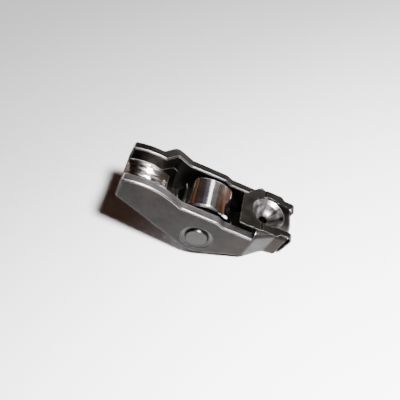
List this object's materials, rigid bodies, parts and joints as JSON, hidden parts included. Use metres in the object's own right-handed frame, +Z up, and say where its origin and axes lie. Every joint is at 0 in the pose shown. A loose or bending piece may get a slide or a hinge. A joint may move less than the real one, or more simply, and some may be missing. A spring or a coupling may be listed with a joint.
{
  "type": "roller rocker arm",
  "caption": "Roller finger follower of an overhead-cam engine: formed steel lever with valve pad and ball socket, needle-bearing cam roller on a staked axle, spring clip.",
  "frame": {"origin": "lowest point of the cam roller, on the surface it rests on, in the middle of the roller's width", "axes": "as it lies: +Z up, +Y along the roller axle to the side whose guide rail stands closer in, +X towards the ball socket end"},
  "size_m": [0.0462, 0.0192, 0.0318],
  "materials": {
    "lever_steel": "tumbled and blasted, matt; valve pad and socket ground",
    "axle_steel": "turned, staked ends",
    "roller_steel": "ground and polished",
    "washer_steel": "ground",
    "needle_steel": "ground and polished",
    "clip_steel": "heat-darkened spring steel"
  },
  "bodies": {
    "lever": {"lever_body": "lever_steel", "roller_axle": "axle_steel", "thrust_washer_near": "washer_steel", "thrust_washer_far": "washer_steel", "retaining_clip": "clip_steel"},
    "roller": {"cam_roller": "roller_steel"},
    "needle_set": {"needle_01": "needle_steel", "needle_02": "needle_steel", "needle_03": "needle_steel", "needle_04": "needle_steel", "needle_05": "needle_steel", "needle_06": "needle_steel", "needle_07": "needle_steel", "needle_08": "needle_steel", "needle_09": "needle_steel", "needle_10": "needle_steel", "needle_11": "needle_steel", "needle_12": "needle_steel", "needle_13": "needle_steel", "needle_14": "needle_steel", "needle_15": "needle_steel", "needle_16": "needle_steel", "needle_17": "needle_steel"}
  },
  "joints": [
    {"name": "roller_spin", "type": "hinge", "parent": "lever", "child": "roller", "pos_m": [0, 0, 0.00953], "axis": [0, 1, 0], "continuous": true},
    {"name": "needle_orbit", "type": "hinge", "parent": "lever", "child": "needle_set", "pos_m": [0, 0, 0.00953], "axis": [0, 1, 0], "continuous": true}
  ],
  "couplings": [
    {"joint": "needle_orbit", "follows": "roller_spin", "ratio": 0.59308}
  ]
}
